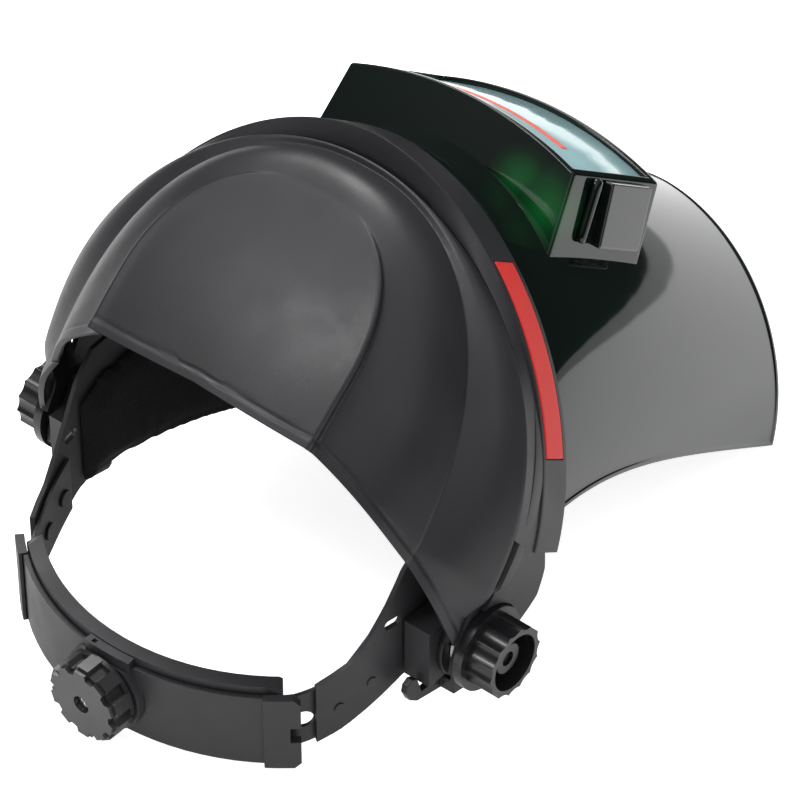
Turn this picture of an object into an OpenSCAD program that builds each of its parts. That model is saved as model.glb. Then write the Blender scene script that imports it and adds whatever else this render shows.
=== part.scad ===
// Flip-up auto-darkening welding shield: a brow crown with a wrap-round tinted visor, carried on a
// ratchet headband. The origin is the middle of the flip axis, +Z is up, the wearer looks along -Y,
// and the shield is drawn flipped up. Shield parts are shaped in their worn position and then flipped.

/* [Shield] */
// How far the shield is flipped up from its worn position, degrees
rest_flip = 56; // [40:1:60]
// Width over the brow rim
rim_w = 239; // [232:1:244]
// How far the brow rim reaches in front of the flip axis
rim_reach = 167; // [160:1:172]
// Wall of the crown moulding
crown_wall = 2.5; // [2:0.1:3]
// Height of the rounded top above the flip axis
crown_top = 97.5; // [92:0.5:102]
// How far the visor hangs below the flip axis when worn
visor_drop = 200; // [180:5:220]
// Wall of the tinted visor
visor_wall = 2; // [1.5:0.1:2.5]

/* [Lens box] */
// Width of the box's front face
box_w = 115.4; // [114:0.2:118]
// Height of the box's front face
box_h = 69; // [66:0.5:72]
// Furthest point of the box in front of the flip axis
box_reach = 187.7; // [184:0.1:190]
// Curve radius of the box's front face
box_bend = 176; // [150:1:220]
// Filter cartridge width, a standard size
filter_w = 108; // [108:0.5:110]
// Filter cartridge height, a standard size
filter_h = 51; // [50:0.5:52]

/* [Pivots and side knobs] */
// Pivot stud diameter
stud_d = 9.8; // [8:0.2:10]
// Outside diameter of the side knob's grip
side_knob_d = 31; // [28:0.5:34]
// Number of flutes around the side knob
side_knob_flutes = 14; // [10:1:18]

/* [Headband] */
// Half width of the band over the temples
band_half_w = 88; // [84:0.5:90]
// Wall of the band
band_wall = 2; // [1.6:0.1:2.4]
// Thickness of the forehead pad
pad_t = 4.5; // [3:0.5:5]

/* [Rear cradle] */
// Curve radius of the cradle's outer face
cradle_r = 108.5; // [106:0.5:110]
// Height of the cradle
cradle_h = 35; // [33:0.5:37]
// Diameter of the ratchet knob
ratchet_knob_d = 36; // [32:0.5:38]
// Pinion pitch radius
pinion_r = 3.2; // [3:0.1:3.3]

/* [Hidden] */
fit = 0.3;
$fn = 64;

// ---- points and curves ----

// A point of the shield from its sideways, forward and up distances
function at(x, f, z) = [x, -f, z];
function mix(a, b, w) = a + (b - a) * w;
function smooth(w) = let (c = min(1, max(0, w))) c * c * (3 - 2 * c);
function signed_pow(v, n) = sign(v) * pow(abs(v), n);
// A superellipse in plan: a is half the width, b the reach in front of f0 and c the reach behind it
function plan(t, a, b, c, f0, n) = [
    a * signed_pow(sin(t), 2 / n),
    f0 + (cos(t) >= 0 ? b : c) * signed_pow(cos(t), 2 / n)
];
function rim_half() = rim_w / 2;

module flipped() rotate([-rest_flip, 0, 0]) children();
module other_side() mirror([1, 0, 0]) children();

// A closed shell from two grids of points with the same rows and columns
module shell(outer, inner) {
    rows = len(outer);
    cols = len(outer[0]);
    n = rows * cols;
    points = concat([for (r = outer) each r], [for (r = inner) each r]);
    skin = [for (r = [0 : rows - 2], c = [0 : cols - 2]) let (k = r * cols + c)
        each [[k, k + cols + 1, k + 1], [k, k + cols, k + cols + 1]]];
    lining = [for (f = skin) [f[2] + n, f[1] + n, f[0] + n]];
    last = (rows - 1) * cols;
    ends = [for (c = [0 : cols - 2])
        each [[c, c + 1, c + n], [c + n, c + 1, c + 1 + n],
              [last + c + 1, last + c, last + c + n], [last + c + 1 + n, last + c + 1, last + c + n]]];
    sides = [for (r = [0 : rows - 2]) let (k = r * cols, m = k + cols - 1)
        each [[k + cols, k, k + n], [k + cols + n, k + cols, k + n],
              [m, m + cols, m + n], [m + n, m + cols, m + cols + n]]];
    polyhedron(points, concat(skin, lining, ends, sides), convexity = 8);
}

// ---- crown ----

crown_cols = 40;
base_turn = 108;
ridge_turn = 102;
crease_turn = 98;
ear_seam_z = 12;
rim_end_f = 44;
crease_half = 57;
crease_f0 = 85;
crease_n = 2.3;
camber = 4;
base_half = rim_half() - 1.5;
base_reach = rim_reach - 12;

function hood_z(f) = crown_top - camber - 0.0019 * f * f;
function rim_on(t) = let (f = plan(t, rim_half(), rim_reach - 40, 150, 40, 1.85)[1])
    f > rim_end_f ? 1 : 0;
// Keeps a point of the crown inside the face of the side knob's flange, near the flip axis
function clear_knob(p, in) = let (
        r = norm([p[1], p[2]]),
        cap = 109.4 - in + max(0, r - 24.5))
    [min(max(p[0], -cap), cap), p[1], p[2]];
// The five guide curves from the rim's lower edge up to the rounded top; in is the wall's inset
function lower_pt(t, in) = rim_on(t) == 1
    ? let (p = plan(t, rim_half() - in, rim_reach - 40 - in, 150, 40, 1.85)) at(p[0], p[1], 0.2 * p[1] - 20)
    : let (p = plan(t, base_half - in, base_reach - 45 - in, 150, 45, 1.95))
        clear_knob(at(p[0], p[1], ear_seam_z), in);
function crest_pt(t, in) = rim_on(t) == 1
    ? let (p = plan(t, rim_half() - in, rim_reach - 40 - in, 150, 40, 1.85))
        at(p[0], p[1], 0.2126 * p[1] - 3 - in)
    : let (p = plan(t, base_half - in, base_reach - 45 - in, 150, 45, 1.95))
        clear_knob(at(p[0], p[1], ear_seam_z + 3), in);
function base_pt(t, in) = let (p = plan(t, base_half - in, base_reach - 45 - in, 150, 45, 1.95))
    clear_knob(at(p[0], p[1], 21 + 0.064 * p[1] - 0.6 * in), in);
function ridge_pt(t, in) = let (p = plan(t, 94 - 0.7 * in, 114 - 0.7 * in, 50, 40, 2.2))
    at(p[0], p[1], 53 - 0.107 * p[1] - 0.7 * in);
function crease_pt(t, in) = let (p = plan(t, crease_half - 0.4 * in, 57 - 0.4 * in, 150, crease_f0, crease_n))
    at(p[0], p[1], hood_z(p[1]) - 0.9 * in);
function hood_pt(t, w, in) = let (
        c = crease_pt(t, in),
        x = mix(c[0], 0, w),
        f = mix(-c[1], 60.5, w),
        r = pow(pow(abs(x / crease_half), crease_n)
            + pow(max(0, f - crease_f0) / 57, crease_n), 1 / crease_n))
    at(x, f, hood_z(f) + camber * (1 - min(1, r) * min(1, r)) - mix(0.9, 1, w) * in);
// A bulge carries the straight run between two guide curves outward and up
function bulged(a, b, w, out, up) = let (p = mix(a, b, w), s = sin(180 * w), m = norm([p[0], p[1]]))
    [p[0] * (1 + out * s / m), p[1] * (1 + out * s / m), p[2] + up * s];
function crown_row(v, in) = [for (k = [-crown_cols : 2 : crown_cols]) let (u = k / crown_cols)
    v <= 1 ? mix(lower_pt(u * base_turn, in), crest_pt(u * base_turn, in), v)
    : v <= 2 ? mix(crest_pt(u * base_turn, in), base_pt(u * base_turn, in), v - 1)
    : v <= 3 ? bulged(base_pt(u * base_turn, in), ridge_pt(u * ridge_turn, in), v - 2, 2.5, 1.5)
    : v <= 4 ? bulged(ridge_pt(u * ridge_turn, in), crease_pt(u * crease_turn, in), v - 3, 3, 2)
    : hood_pt(u * crease_turn, v - 4, in)];
crown_levels = [0, 1, 2, 2.33, 2.67, 3, 3.25, 3.5, 3.75, 4, 4.2, 4.4, 4.6, 4.8, 4.97];

module crown_shell() color("#26272a") flipped()
    shell([for (v = crown_levels) crown_row(v, 0)], [for (v = crown_levels) crown_row(v, crown_wall)]);

// ---- red inserts: strips let into the rim's outer face ----

insert_from = 35;
insert_to = 70;
insert_t = 1.2;
insert_cols = 18;

function insert_pt(t, out, high) = let (
        p = plan(t, rim_half() + out, rim_reach - 40 + out, 150, 40, 1.85),
        top = 0.2126 * p[1] - 4.5,
        low = 0.2 * p[1] - 17)
    at(p[0], p[1], high ? top : low);
function insert_row(high, out) = [for (k = [0 : insert_cols])
    insert_pt(mix(insert_from, insert_to, k / insert_cols), out, high)];

module red_insert() color("#e02a1c") flipped()
    shell([insert_row(false, insert_t), insert_row(true, insert_t)],
          [insert_row(false, 0.1), insert_row(true, 0.1)]);
module red_insert_left() red_insert();
module red_insert_right() other_side() red_insert();

// ---- ear plates: curved plates that carry the pivot bores ----

ear_mid_f = 36;
ear_half = 113.4;
ear_t = 2.5;
ear_boss_r = 20.5;
ear_boss_in = 105.2;
ear_boss_out = 109.4;
bore_gap = 0.05;

function ear_x(f) = max(108.5, ear_half - pow(f - ear_mid_f, 2) / (f < ear_mid_f ? 209 : 122));
module ear_strip() translate([0, 0, -30]) linear_extrude(height = 60) polygon(concat(
    [for (f = [-20 : 4 : 72]) [ear_x(f), -f]],
    [for (f = [72 : -4 : -20]) [ear_x(f) - ear_t, -f]]));
module ear_outline() polygon([
    [-9, 11.6], [-15, 8.5], [-17.5, 0], [-17, -8], [-13, -14.5], [-6, -18.5], [8, -21], [22, -22],
    [34, -18], [46, -10], [66, -10], [66, 6], [58, 19], [32, 19], [32, 11.6]
]);
// Ear plate on the wearer's left, in the worn position
module ear_plate() color("#2c2d31") flipped() difference() {
    union() {
        intersection() {
            ear_strip();
            rotate([90, 0, 90]) mirror([1, 0, 0]) linear_extrude(height = 140) ear_outline();
        }
        intersection() {
            across(ear_boss_in, ear_boss_out - ear_boss_in, ear_boss_r);
            rotate([90, 0, 90]) mirror([1, 0, 0]) linear_extrude(height = 140) ear_outline();
        }
    }
    across(ear_boss_out, 20, knob_flange_r + 0.6);
    across(90, 40, stud_d / 2 + bore_gap);
    visor_pin_hole();
}
module ear_plate_left() ear_plate();
module ear_plate_right() other_side() ear_plate();

// ---- visor ----

visor_cols = 36;
visor_rows = 14;
visor_top_lap = 7;
visor_n = 1.85;

function visor_drop_w(z) = min(1, max(0, (8 - z) / (8 + visor_drop)));
function visor_a(z, in) = rim_half() - 4.3 - 16.5 * pow(visor_drop_w(z), 1.4) - in;
function visor_f0(z) = 40 + 30 * visor_drop_w(z);
function visor_front(z) = let (w = visor_drop_w(z)) rim_reach - 3.5 + 5.5 * sin(180 * pow(w, 0.6)) - w;
function visor_side_f(z) = 81 - 28 * exp(z / 45);
function visor_end_turn(z) = let (b = visor_front(z) - visor_f0(z))
    acos(min(1, max(-1, signed_pow((visor_side_f(z) - visor_f0(z)) / b, visor_n / 2))));
function visor_z(u, s) = mix(0.2 * mix(50, 164, pow(cos(90 * u), 0.9)) - 20 + visor_top_lap, -visor_drop, s);
function visor_pt(u, s, in) = let (
        z = visor_z(u, s),
        p = plan(u * visor_end_turn(z), visor_a(z, in), visor_front(z) - visor_f0(z) - in, 60,
            visor_f0(z), visor_n))
    at(p[0], p[1], z);
function visor_grid(in) = [for (r = [visor_rows : -1 : 0])
    [for (k = [-visor_cols : 2 : visor_cols]) visor_pt(k / visor_cols, r / visor_rows, in)]];

// ---- lens box: it stands out of the visor at eye level ----

box_wall = 2.2;
box_top = -22.5;
box_back_f = 138;
box_flare = 5.5;
box_lip = 3.2;

module box_block(inset, back, front) intersection() {
    hull() {
        translate([-box_w / 2 + inset, -box_reach - 4, box_top - box_h + inset])
            cube([box_w - 2 * inset, 0.01, box_h - 2 * inset]);
        translate([-box_w / 2 - box_flare + inset, -back, box_top - box_h - 1 + inset])
            cube([box_w + 2 * box_flare - 2 * inset, 0.01, box_h + 4 - 2 * inset]);
    }
    translate([0, box_bend - box_reach, -200]) cylinder(r = box_bend - front, h = 300, $fn = 200);
}
module lens_window() translate([0, 0, box_top - box_h / 2])
    cube([box_w - 2 * box_wall - 2 * box_lip, 500, box_h - 2 * box_wall - 2 * box_lip], center = true);
// Trims the box's walls to the visor's inner face
module box_tail() translate([0, -59, box_top - box_h - 3]) intersection() {
    cylinder(r = 106.5, h = box_h + 8, $fn = 200);
    translate([-64, -200, 0]) cube([128, 400, 100]);
}
// Round rib along the box's end
module box_rib() translate([box_w / 2 + 2.4, -152, box_top - 15.5]) rotate([90, 0, -6])
    cylinder(r = 3, h = 25);
module visor() color([0.02, 0.06, 0.04, 0.85]) flipped() difference() {
    union() {
        shell(visor_grid(0), visor_grid(visor_wall));
        difference() {
            box_block(0, box_back_f, 0);
            box_tail();
        }
        box_rib();
        other_side() box_rib();
    }
    box_block(box_wall, box_back_f - 6, 2);
    lens_window();
    visor_pin_hole();
    other_side() visor_pin_hole();
}

// ---- pins that hold the visor to the ear plates ----

visor_pin_r = 2;
visor_pin_f = 61;
visor_pin_z = -3;

visor_pin_x = 111.2;

module visor_pin_place() translate([visor_pin_x, -visor_pin_f, visor_pin_z]) rotate([0, 90, 0]) children();
module visor_pin_hole() visor_pin_place() cylinder(r = visor_pin_r + bore_gap, h = 20, center = true);
module visor_pin() visor_pin_place() {
    translate([0, 0, -6.8]) cylinder(r = 3.6, h = 1.3);
    translate([0, 0, -5.6]) cylinder(r = visor_pin_r, h = 8.2);
}
module visor_pins() color("#1c1c1e") flipped() {
    visor_pin();
    other_side() visor_pin();
}

// ---- parts inside the lens box ----

box_mid_z = box_top - box_h / 2;
lens_t = 1.2;
case_f = 164.5;
case_t = 7;
carrier_t = 9;

// A flat rectangular block standing across the line of sight: f is its back face
module slab(w, h, f, t) translate([-w / 2, -f - t, box_mid_z - h / 2]) cube([w, t, h]);

module cover_lens() color([0.62, 0.8, 0.82, 0.6]) flipped() intersection() {
    slab(box_w - 2 * box_wall - 1.4, box_h - 2 * box_wall - 1.4, 150, 50);
    translate([0, box_bend - box_reach, -200]) difference() {
        cylinder(r = box_bend - 2.3, h = 300, $fn = 200);
        translate([0, 0, -1]) cylinder(r = box_bend - 2.3 - lens_t, h = 302, $fn = 200);
    }
}
// Frame that holds the cartridge in the box
module filter_carrier() color("#1b1b1d") flipped() difference() {
    slab(box_w - 2, box_h - 5, case_f - 1, carrier_t);
    slab(filter_w + 2 * fit, filter_h + 2 * fit, case_f, carrier_t + 5);
    slab(filter_w - 8, filter_h - 6, case_f - 5, carrier_t);
}
window_w = 96;
window_h = 40;
window_up = -4;
module filter_window(w, h, f, t) translate([0, 0, window_up]) slab(w, h, f, t);
module filter_case() color("#141416") flipped() difference() {
    slab(filter_w, filter_h, case_f, case_t);
    filter_window(window_w - 4, window_h - 4, case_f - 1, case_t + 2);
    filter_window(window_w, window_h, case_f + 2, case_t);
    translate([0, 0, 20.5]) slab(94, 6, case_f + 2, 2.6);
    translate([0, 0, 20.5]) slab(90, 7, case_f + 5.8, 4);
    sensor_holes(2.05);
}
module filter_glass() color([0.25, 0.45, 0.5, 0.7]) flipped()
    filter_window(window_w - 2 * fit, window_h - 2 * fit, case_f + 2.1, 2.6);
module solar_panel() color("#3b1f2b") flipped() translate([0, 0, 20.5]) slab(89.4, 6.4, case_f + 5.9, 1);
module circuit_board() color("#1f6b3a") flipped() translate([0, 0, 20.5]) slab(92, 5.4, case_f + 2.2, 1.6);
sensor_x = 51;
module sensor_holes(r) for (s = [-1, 1]) translate([s * sensor_x, -case_f - 3, box_mid_z + 14])
    rotate([90, 0, 0]) cylinder(r = r, h = 10);
module arc_sensors() color("#30303a") flipped() for (s = [-1, 1])
    translate([s * sensor_x, -case_f - 3.2, box_mid_z + 14]) rotate([90, 0, 0]) cylinder(r = 1.95, h = 3.4);
module inner_cover_lens() color([0.8, 0.9, 0.9, 0.4]) flipped()
    slab(filter_w - 2, filter_h + 2, case_f - 2.4, 1);

// Blocks on the ends of the box that grip the carrier
clip_h = 32;
clip_low = box_top - 57;
module lens_clip() color("#0c0f0d") flipped() hull() {
    translate([box_w / 2 + 2.4, -176.5, clip_low]) cube([2.2, 3, clip_h]);
    translate([box_w / 2 + 4.9, -154, clip_low]) cube([5, 3, clip_h]);
}
module lens_clip_left() lens_clip();
module lens_clip_right() other_side() lens_clip();

// ---- pivots, from the band outward ----

stud_head_x = 83.2;
stud_end_x = 121;
block_in = 88.3;
block_out = 100.8;
lever_t = 2;
washer_t = 1.4;

module across(x, len, r) translate([x, 0, 0]) rotate([0, 90, 0]) cylinder(r = r, h = len);
module stud_hole() across(70, 50, stud_d / 2 + bore_gap);

module pivot_stud() color("#3a3a3d") {
    across(stud_head_x, 2, 9);
    across(stud_head_x + 1, stud_end_x - stud_head_x - 1, stud_d / 2);
}
module temple_block() color("#28292c") difference() {
    union() {
        translate([block_in, -16, -13]) cube([block_out - block_in, 37.5, 28]);
        across(block_in, block_out - block_in, 17);
    }
    stud_hole();
    translate([block_in + 2.5, -12, -30]) cube([block_out - block_in - 5, 6, 60]);
}
// Tilt stop: a plate round the stud that steps in under the temple block and ends in a flat thumb tab
lever_tab_x = 93.7;
lever_tab_t = 3;
lever_under_z = -18.2;
lever_neck = [[-9, -10], [9, -10], [9, -24.7], [-4, -27], [-8, -24]];
lever_bridge = [[-6, lever_under_z], [-6, -25.5], [-4, -27], [9, -24.7], [9, lever_under_z]];
lever_tab = [
    [-6, lever_under_z], [-6, -25.5], [-4, -27], [9, -24.7], [23.7, -21.4], [28, -18], [30.3, -13],
    [29.5, -9.5], [26.5, -8], [23.8, -9.5], [22.5, -13], [21, lever_under_z]
];
// A flat plate standing at x, with its outline given as points of (y, z)
module plate(x, t, outline) translate([x, 0, 0]) rotate([90, 0, 90]) linear_extrude(height = t) polygon(outline);
module stop_lever() color("#222326") difference() {
    union() {
        across(block_out + fit, lever_t, 17);
        plate(block_out + fit, lever_t, lever_neck);
        plate(lever_tab_x, block_out + fit + lever_t - lever_tab_x, lever_bridge);
        plate(lever_tab_x, lever_tab_t, lever_tab);
    }
    stud_hole();
}
module friction_washer() color("#c9c9c4") difference() {
    across(block_out + 2 * fit + lever_t, washer_t, 12);
    stud_hole();
}
module temple_block_left() temple_block();
module temple_block_right() other_side() temple_block();
module pivot_stud_left() pivot_stud();
module pivot_stud_right() other_side() pivot_stud();
module stop_lever_left() stop_lever();
module stop_lever_right() other_side() stop_lever();
module friction_washer_left() friction_washer();
module friction_washer_right() other_side() friction_washer();

// ---- side knobs: fluted clamp nuts with a deep hollow face ----

knob_in = 109.9;
knob_flange_r = 18.4;
knob_flange_t = 4;
knob_len = 16.2;
knob_hollow_r = 12.3;
knob_boss_r = 6.6;
flute_r = 6.6;
knob_face_x = knob_in + knob_len;

module side_knob() color("#202124") difference() {
    union() {
        across(knob_in, knob_flange_t, knob_flange_r);
        across(knob_in, knob_len, side_knob_d / 2);
    }
    for (k = [0 : side_knob_flutes - 1]) rotate([360 * k / side_knob_flutes, 0, 0])
        translate([knob_in + knob_flange_t, 0, side_knob_d / 2 + flute_r - 1.2]) rotate([0, 90, 0])
            cylinder(r = flute_r, h = 30);
    difference() {
        across(knob_in + knob_flange_t, 30, knob_hollow_r);
        across(knob_in, knob_len - 3.5, knob_boss_r);
    }
    across(knob_in - 1, stud_end_x - knob_in + 1.4, stud_d / 2 + bore_gap);
    across(knob_in, 40, 3.2);
}
module side_knob_left() side_knob();
module side_knob_right() other_side() side_knob();

// ---- headband ----

band_mid_y = 5;
band_reach = 108;
band_back = 110;
band_end_y = 60;
strap_t = 1.6;
strap_r = cradle_r - 3;
cradle_y = 97 - 108;

// Band outline in plan at an inset; t is 0 at the forehead and 90 over the temple
function band_pt(t, in) = [
    (band_half_w - in) * sin(t),
    band_mid_y - ((cos(t) >= 0 ? band_reach : band_back) - in) * cos(t)
];
function band_turn(y) = acos((band_mid_y - y) / (y > band_mid_y ? band_back : band_reach));
module band_sector(in, t, end_turn) polygon(concat(
    [for (k = [-30 : 30]) band_pt(k * end_turn / 30, in)],
    [for (k = [30 : -1 : -30]) band_pt(k * end_turn / 30, in + t)]));
// A side profile, given as points of (y, z), kept through the whole width
module side_profile(points) rotate([90, 0, 90])
    linear_extrude(height = 300, center = true) polygon(points);

band_low = [[62, -30], [50, -27], [36, -21], [22, -15], [6, -12], [-30, -11], [-110, -12]];
band_top = [[-110, 30], [-60, 36], [-30, 46], [-8, 52], [9, 50], [20, 39], [28, 26], [36, 15], [46, 5], [62, -1]];

module headband() color("#232427") difference() {
    intersection() {
        translate([0, 0, -60]) linear_extrude(height = 140) band_sector(0, band_wall, band_turn(band_end_y));
        side_profile(concat(band_low, band_top));
    }
    stud_hole();
    other_side() stud_hole();
    button_holes();
    for (s = [-1, 1]) translate([s * 80, 26, 16]) rotate([0, 90, 0]) {
        hull() for (q = [-2, 2]) translate([0, q, 0]) cylinder(r = 2.2, h = 40, center = true);
    }
}

pad_low = [[22, -13], [6, -14], [-30, -14], [-110, -15]];
pad_top = [[-110, 33], [-60, 36], [-30, 40], [-8, 40], [9, 36], [22, 28]];
module forehead_pad() color("#2b2b2d") difference() {
    intersection() {
        translate([0, 0, -60]) linear_extrude(height = 140)
            band_sector(band_wall + 0.4, pad_t, band_turn(22));
        side_profile(concat(pad_low, pad_top));
    }
    for (s = [-1, 1]) translate([s * 80, 0, 0]) rotate([0, 90, 0]) cylinder(r = 11, h = 14, center = true);
}

// ---- rear straps: slotted racks that cross in the cradle, one behind the other ----

strap_gap = 0.4;
pinion_teeth = 8;
tooth_pitch = 2 * PI * pinion_r / pinion_teeth;
tooth_depth = 1.4;
strap_front_y = 30;
strap_join_y = 50;
arc_join = 36;
tip_turn = -10;
slot_half = 4;
slot_from = -7;
slot_to = 46.5;
mid_z = -18;
strap_low = [[120, -31], [64, -31], [56, -29], [46, -26], [30, -19]];
strap_top = [[30, 8], [46, 2], [56, -3], [64, -5], [120, -5]];

function on_arc(r, turn) = [r * sin(turn), cradle_y + r * cos(turn)];
function along_band(y, in) = let (a = band_half_w - band_wall - fit - in, b = band_back - band_wall - fit - in)
    [a * sqrt(1 - pow((y - band_mid_y) / b, 2)), y];
function bezier(p, q, r, s, k) = let (m = 1 - k)
    m * m * m * p + 3 * m * m * k * q + 3 * m * k * k * r + k * k * k * s;
// Outer face of a strap from its front end round to its tip; r is its radius in the cradle
function strap_line(r) = concat(
    [for (k = [0 : 8]) along_band(mix(strap_front_y, strap_join_y, k / 8), 0)],
    [for (k = [1 : 9]) bezier(along_band(strap_join_y, 0), along_band(strap_join_y, 0) + [-3.4, 9.4],
        on_arc(r, arc_join) + [8.1, -5.9], on_arc(r, arc_join), k / 10)],
    [for (k = [0 : 20]) on_arc(r, mix(arc_join, tip_turn, k / 20))]);
// The same line moved inward by d
function inset_line(line, d) = [for (k = [0 : len(line) - 1])
    let (run = line[min(k + 1, len(line) - 1)] - line[max(k - 1, 0)])
    line[k] + d * [-run[1], run[0]] / norm(run)];
module strap_ring(r) let (outer = strap_line(r), inner = inset_line(outer, strap_t))
    polygon(concat(outer, [for (k = [len(inner) - 1 : -1 : 0]) inner[k]]));
// The slot, with rack teeth left standing on its upper or lower edge
module strap_slot(r, side) difference() {
    union() {
        arc_wall(r + 12, 24, mid_z - slot_half, mid_z + slot_half, slot_from, slot_to - 2.2);
        translate([0, cradle_y, mid_z]) rotate([-90, 0, 2.2 - slot_to]) translate([0, 0, 80])
            cylinder(r = slot_half, h = 40);
    }
    for (k = [-4 : 9]) translate([0, cradle_y, mid_z + side * slot_half])
        rotate([0, 0, -(k + 0.5) * tooth_pitch * 180 / PI / r])
            cube([1, 3 * r, 2 * tooth_depth], center = true);
}
module rear_strap(r, side) color("#232427") difference() {
    intersection() {
        translate([0, 0, -60]) linear_extrude(height = 100) strap_ring(r);
        side_profile(concat(strap_low, strap_top));
    }
    strap_slot(r, side);
    button_places() cylinder(r = button_r + bore_gap, h = 20, center = true, $fn = 24);
}
module rear_strap_left() rear_strap(strap_r + 0.5, 1);
module rear_strap_right() other_side() rear_strap(strap_r - strap_t - strap_gap + 0.5, -1);

// ---- buttons that hold the straps to the band ----

button_r = 2.2;
button_spots = [[36, -9], [50, -15]];
function band_side_turn(p) = atan2((p[1] - band_mid_y) / (band_back * band_back),
    p[0] / (band_half_w * band_half_w));
module button_places() for (b = button_spots) let (p = along_band(b[0], 0))
    translate([p[0], p[1], b[1]]) rotate([0, 0, band_side_turn(p)]) rotate([0, 90, 0]) children();
module strap_button() {
    translate([0, 0, -strap_t - 1.1]) cylinder(r = 3.8, h = 1, $fn = 32);
    translate([0, 0, -strap_t - 0.5]) cylinder(r = button_r, h = band_wall + strap_t + 1.3, $fn = 24);
}
module strap_buttons() color("#1d1e20") {
    button_places() strap_button();
    other_side() button_places() strap_button();
}
module button_holes() {
    button_places() cylinder(r = button_r + bore_gap, h = 20, center = true, $fn = 24);
    other_side() button_places() cylinder(r = button_r + bore_gap, h = 20, center = true, $fn = 24);
}

// ---- rear cradle ----

cover_t = 2.2;
cover_turn = 37;
cover_top = mid_z + cradle_h / 2 - 0.7;
pad_plate_t = 2.2;
pad_plate_r = cradle_r - 2 * strap_t - 3 * strap_gap - cover_t;
pad_plate_turn = 40;
flange_r = cradle_r - cover_t - fit;
flange_top = cover_top + 3.8;
gear_house_r = 19;
shaft_r = 3;

// A curved wall round the cradle's centre from one height to another
module arc_wall(r, t, z0, z1, from, to) translate([0, cradle_y, z0]) intersection() {
    difference() {
        cylinder(r = r, h = z1 - z0, $fn = 180);
        translate([0, 0, -1]) cylinder(r = r - t, h = z1 - z0 + 2, $fn = 180);
    }
    linear_extrude(height = z1 - z0) polygon([
        [0, 0], 200 * [sin(from), cos(from)],
        200 * [sin((from + to) / 2), cos((from + to) / 2)], 200 * [sin(to), cos(to)]]);
}
module backward(y, len, r) translate([0, y, mid_z]) rotate([-90, 0, 0]) cylinder(r = r, h = len);

module cradle_cover() color("#242528") difference() {
    union() {
        arc_wall(cradle_r, cover_t, cover_top - cradle_h, cover_top, -cover_turn, cover_turn);
        intersection() {
            backward(96, 3.6, gear_house_r);
            translate([-30, cradle_y + cradle_r - cover_t + 0.2, -50]) cube([60, 30, 50 + cover_top - 2]);
        }
    }
    backward(80, 40, shaft_r + bore_gap);
}
// Inner plate with a wide top flange; its tab lies over the cover's top edge
module cradle_pad() color("#222326") difference() {
    union() {
        intersection() {
            union() {
                arc_wall(pad_plate_r, pad_plate_t, cover_top - cradle_h + 2, flange_top,
                    -pad_plate_turn, pad_plate_turn);
                arc_wall(flange_r, flange_r - pad_plate_r + 1, mid_z + 13.4, flange_top,
                    -pad_plate_turn, pad_plate_turn);
            }
            rotate([90, 0, 0]) linear_extrude(height = 300, center = true)
                polygon([[-72, -60], [72, -60], [72, -4.6], [63, flange_top], [-63, flange_top], [-72, -4.6]]);
        }
        arc_wall(cradle_r + 1.5, 6, cover_top + fit, flange_top - 0.6, -7, 5);
        arc_wall(cradle_r + 1.5, 1.2, cover_top - 1.5, flange_top - 0.6, -7, 5);
    }
    backward(80, 30, 1.4);
    translate([5.5, 97, flange_top]) cube([2, 2, 4], center = true);
}
// End collar: it hooks over the cover's end, and the strap slides past inside it
module cradle_clip() color("#26272a") difference() {
    arc_wall(cradle_r + 1.9, 3.9, cover_top - cradle_h - 0.7, cover_top + 0.7, 36, 43.6);
    arc_wall(cradle_r + 0.3, 12, cover_top - cradle_h - 0.3, cover_top + fit, 30, 38.4);
    arc_wall(cradle_r + 4, 12, mid_z - 5, mid_z + 2.5, 41.4, 47);
    for (s = [-1, 1]) translate([0, cradle_y, mid_z - 0.7 + s * 20]) rotate([0, 0, -44.2])
        translate([0, 110, 0]) rotate([0, 45, 0]) cube([8, 30, 8], center = true);
}
module cradle_clip_left() cradle_clip();
module cradle_clip_right() other_side() cradle_clip();

// ---- ratchet drive ----

pinion_y = cradle_y + pad_plate_r + 0.5;
pinion_end_y = cradle_y + cradle_r - cover_t - 0.3;
knob_base_y = 100.5;
knob_back_y = 112;
ratchet_lobes = 10;

module ratchet_pinion() color("#3b3c40") difference() {
    union() {
        backward(pinion_y, pinion_end_y - pinion_y + 1, pinion_r - 0.9);
        for (k = [0 : pinion_teeth - 1]) translate([0, pinion_y, mid_z])
            rotate([0, 360 * k / pinion_teeth, 0]) translate([-0.5, 0, 1])
                cube([1, pinion_end_y - pinion_y, pinion_r - 0.5]);
        backward(pinion_end_y + 0.1, knob_base_y + 2.4 - pinion_end_y, shaft_r);
    }
    backward(pinion_y + 3, 30, 1.25);
}
module detent_ring() color("#8d8f92") difference() {
    backward(99.8, 0.5, 9);
    backward(99, 3, shaft_r + 1);
}
// Outline of the ratchet knob with a shallow notch between the lobes
module lobed(r, depth) polygon([for (k = [0 : ratchet_lobes - 1], p = [[-9, 0], [9, 0], [12.5, 1], [23.5, 1]])
    let (a = 360 * k / ratchet_lobes + p[0]) (r - p[1] * depth) * [sin(a), cos(a)]]);
module backward_layer(y, len) translate([0, y, mid_z]) rotate([-90, 0, 0]) linear_extrude(height = len) children();
module ratchet_knob() color("#222326") difference() {
    union() {
        backward(knob_base_y, 2, ratchet_knob_d / 2 - 0.5);
        backward_layer(knob_base_y + 1, knob_back_y - knob_base_y - 3) lobed(ratchet_knob_d / 2, 2.2);
        backward_layer(knob_base_y + 1, knob_back_y - knob_base_y - 1) lobed(ratchet_knob_d / 2 - 1.4, 2.2);
    }
    backward(knob_base_y - 1, 3.7, shaft_r + bore_gap);
    backward(knob_base_y, 20, 1.6);
    backward(knob_back_y - 5, 20, 3.9);
}
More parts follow.
